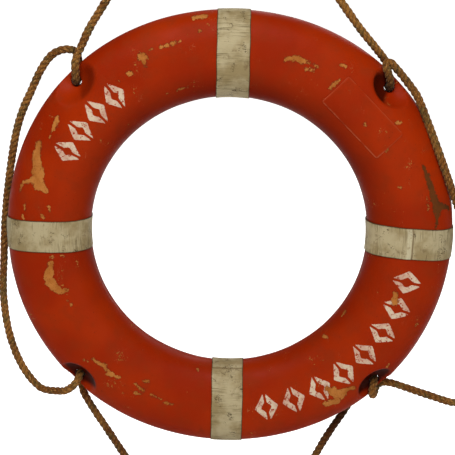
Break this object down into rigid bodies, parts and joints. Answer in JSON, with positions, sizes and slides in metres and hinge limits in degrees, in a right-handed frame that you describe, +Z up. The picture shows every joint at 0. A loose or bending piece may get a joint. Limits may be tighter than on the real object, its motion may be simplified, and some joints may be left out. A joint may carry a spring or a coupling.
{
  "type": "ring lifebuoy",
  "caption": "Foam-filled ring lifebuoy with scooped rim holes, reflective tape bands and a rope grab line, hung by its top bight.",
  "frame": {"origin": "hanging point: the underside of the top rope bight, where a hook carries it", "axes": "+X to the viewer's right, +Y from the ring's front face to its back, +Z up"},
  "size_m": [0.8466, 0.1014, 1.1511],
  "materials": {
    "shell": "worn gloss paint over a tan layer",
    "foam": "rigid foam",
    "tape": "weathered reflective tape",
    "plug": "painted over",
    "rope": "weathered three-strand natural fibre",
    "twine": "waxed twine"
  },
  "bodies": {
    "top_bight": {"grab_line_top": "rope"},
    "ring": {"shell_front": "shell", "shell_back": "shell", "foam_core": "foam", "label_plate": "shell", "filling_plug": "plug", "tape_band_top": "tape", "tape_band_right": "tape", "tape_band_bottom": "tape", "tape_band_left": "tape", "hitch_upper_left": "rope", "hitch_upper_right": "rope", "hitch_lower_right": "rope", "hitch_lower_left": "rope"},
    "left_bight": {"grab_line_left": "rope"},
    "right_bight": {"grab_line_right": "rope"},
    "bottom_bight": {"grab_line_bottom": "rope", "whipping_left": "twine", "whipping_right": "twine"}
  },
  "joints": [
    {"name": "ring_swing", "type": "hinge", "parent": "top_bight", "child": "ring", "pos_m": [0.022, 0, -0.2975], "axis": [1, 0, 0], "range_deg": [-90, 90], "deforming": ["grab_line_top"]},
    {"name": "left_bight_swing", "type": "hinge", "parent": "ring", "child": "left_bight", "pos_m": [-0.257, 0, -0.6105], "axis": [0, 0, 1], "range_deg": [-90, 90], "deforming": ["grab_line_left"]},
    {"name": "right_bight_swing", "type": "hinge", "parent": "ring", "child": "right_bight", "pos_m": [0.306, 0, -0.6105], "axis": [0, 0, 1], "range_deg": [-90, 90], "deforming": ["grab_line_right"]},
    {"name": "bottom_bight_swing", "type": "hinge", "parent": "ring", "child": "bottom_bight", "pos_m": [0.022, 0.002, -0.9315], "axis": [1, 0, 0], "range_deg": [-90, 90], "deforming": ["grab_line_bottom"]}
  ]
}
